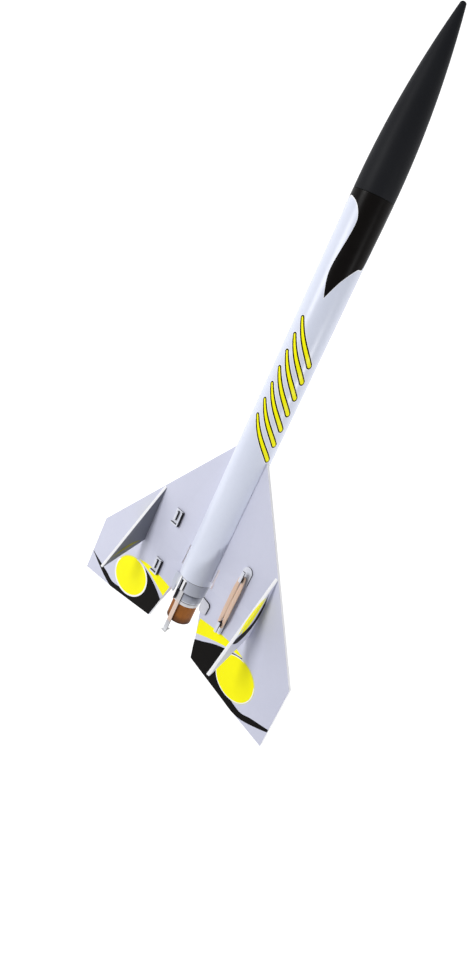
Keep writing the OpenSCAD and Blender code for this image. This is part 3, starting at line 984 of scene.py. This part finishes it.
def make_band(side):
    """A flat rubber band stretched round the two hook posts: narrow at the posts, broad between them."""
    node = "band_" + side
    low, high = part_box(node)
    centre = (low + high) / 2
    end_x, end_half, middle_half = 1.85 * MM, 0.62 * MM, 1.7 * MM
    top = high.z - 0.55 * MM
    bottom = low.z + 0.55 * MM
    runs = 40
    points = []
    for way in (1, -1):
        for k in range(runs + 1):
            t = k / runs if way > 0 else 1 - k / runs
            swell = min(1.0, 1.25 * math.sin(math.pi * min(max((t - 0.02) / 0.96, 0), 1)) ** 0.6)
            half = end_half + (middle_half - end_half) * swell
            x = way * max(half - 0.02 * MM, end_x * (1 - swell) + (middle_half - 0.02 * MM) * swell)
            wave = 0.12 * MM * math.sin(9 * t + way)
            z = bottom + (top - bottom) * t
            points.append((Vector((centre.x + x, centre.y + wave, z)), half, 0.42 * MM))
        end_z = top if way > 0 else bottom
        for k in range(1, 8):
            a = math.pi * k / 8
            x = way * end_x * math.cos(a)
            z = end_z + way * 0.12 * MM * math.sin(a)
            points.append((Vector((centre.x + x, centre.y, z)), 0.42 * MM, 0.5 * MM))
    made = finish_object("rubber_band_" + side, sweep(points), "band", None, smooth=80)
    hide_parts(node)
    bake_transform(made)


make_band("right")
make_band("left")


def lip(name, body, x0, x1, z0, z1):
    """A thin lip flush with the upper skin that closes the gap between two sheets."""
    bm = bmesh.new()
    y0, y1 = -WING_FACE, -WING_FACE + 0.3 * MM
    outline = ((x0, z0), (x1, z0), (x1, z1), (x0, z1))
    corners = [[bm.verts.new((x, y, z)) for x, z in outline] for y in (y0, y1)]
    bm.faces.new(corners[0])
    bm.faces.new(corners[1][::-1])
    for i in range(4):
        j = (i + 1) % 4
        bm.faces.new((corners[0][i], corners[1][i], corners[1][j], corners[0][j]))
    return finish_object(name, bm, "wing", body)


LAP = 0.01 * MM
EDGE_LIP_LOW = -55.2 * MM
HINGE_LIP_IN = -16 * MM
lip("edge_lip_right", "elevon_r", ELEVON_HIGH.x - LAP, ELEVON_HIGH.x + GAP - LAP, EDGE_LIP_LOW, HINGE_Z)
lip("edge_lip_left", "airframe", -ELEVON_HIGH.x - GAP - LAP, -ELEVON_HIGH.x - LAP, EDGE_LIP_LOW,
    HINGE_Z)
lip("hinge_lip_left", "airframe", -ELEVON_HIGH.x - GAP, HINGE_LIP_IN, ELEVON_HIGH.z + LAP,
    ELEVON_HIGH.z + GAP + LAP)


def make_hinge_film(side):
    """Thin film across the hinge line."""
    node = "hinge_strip_" + side
    low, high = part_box(node)
    outward = -1 if side == "right" else 1
    face = low.y if side == "left" else high.y
    bm = bmesh.new()
    columns, rows = 24, 10
    grid = []
    for i in range(columns + 1):
        line = []
        for j in range(rows + 1):
            x = low.x + (high.x - low.x) * i / columns
            z = low.z + (high.z - low.z) * j / rows
            border = min(i, columns - i, j, rows - j) == 0
            lift = 0.0 if border else 0.05 * MM
            line.append(bm.verts.new((x, face + outward * (0.01 * MM + lift), z)))
        grid.append(line)
    for i in range(columns):
        for j in range(rows):
            bm.faces.new((grid[i][j], grid[i + 1][j], grid[i + 1][j + 1], grid[i][j + 1]))
    made = finish_object("hinge_film_" + side, bm, "film", None, smooth=60)
    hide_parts(node)
    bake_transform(made)


make_hinge_film("right")
make_hinge_film("left")

# ---------------------------------------------------------------- lug, mount and motor
lug_centre = ((LUG_LOW.x + LUG_HIGH.x) / 2, (LUG_LOW.y + LUG_HIGH.y) / 2)
lug_r = (LUG_HIGH.x - LUG_LOW.x) / 2
lug_profile = tube_profile(lug_r, lug_r - 0.4 * MM, LUG_LOW.z, LUG_HIGH.z, 0.1 * MM)
lug = finish_object("lug_tube", lathe(lug_profile, 48, lug_centre), "tube", "airframe")
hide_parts("launch_lug")
COLLAR_REAR = -9.2 * MM
rounded_copy("release_collar", "collar", "collar", "motor_mount", 0.18, 3, angle=45,
             edge=("edge", "shade"), is_edge=collar_zone)
rounded_copy("latch_dog", "collar_dog", "collar", "motor_mount", 0.25, 3)
rounded_copy("mount_tube", "mount_tube_skin", "mount", "motor_mount", 0.1, 2, angle=45)
# the strip's sides turned to +X are painted dark as shade
rounded_copy("engine_hook", "sprung_hook", "hook_strip", "hook", 0.12, 2, edge=("shade",),
             is_edge=lambda face: face.normal.x > 0.6)


def make_motor():
    outer = MOTOR_HIGH.x
    profile = tube_profile(outer, 6.3 * MM, MOTOR_LOW.z, MOTOR_HIGH.z, 0.35 * MM)
    casing = finish_object("motor_case", lathe(profile, 128), "kraft", "motor")
    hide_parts("motor_casing")


make_motor()

# CAD nodes whose shape is right keep it and take a finish
FINISH = {
    "stop_ring": "ring", "nose_plug": "plug", "nose_weight": "clay", "hook_anchor": "steel",
    "mount_front_ring": "ring", "thrust_ring": "ring", "motor_nozzle": "clay",
    "motor_propellant": "grain", "motor_delay": "clay", "motor_charge": "grain", "motor_cap": "clay",
}
for node, finish in FINISH.items():
    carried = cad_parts[node]
    carried.data.materials.clear()
    carried.data.materials.append(M[finish])

bpy.context.view_layer.update()
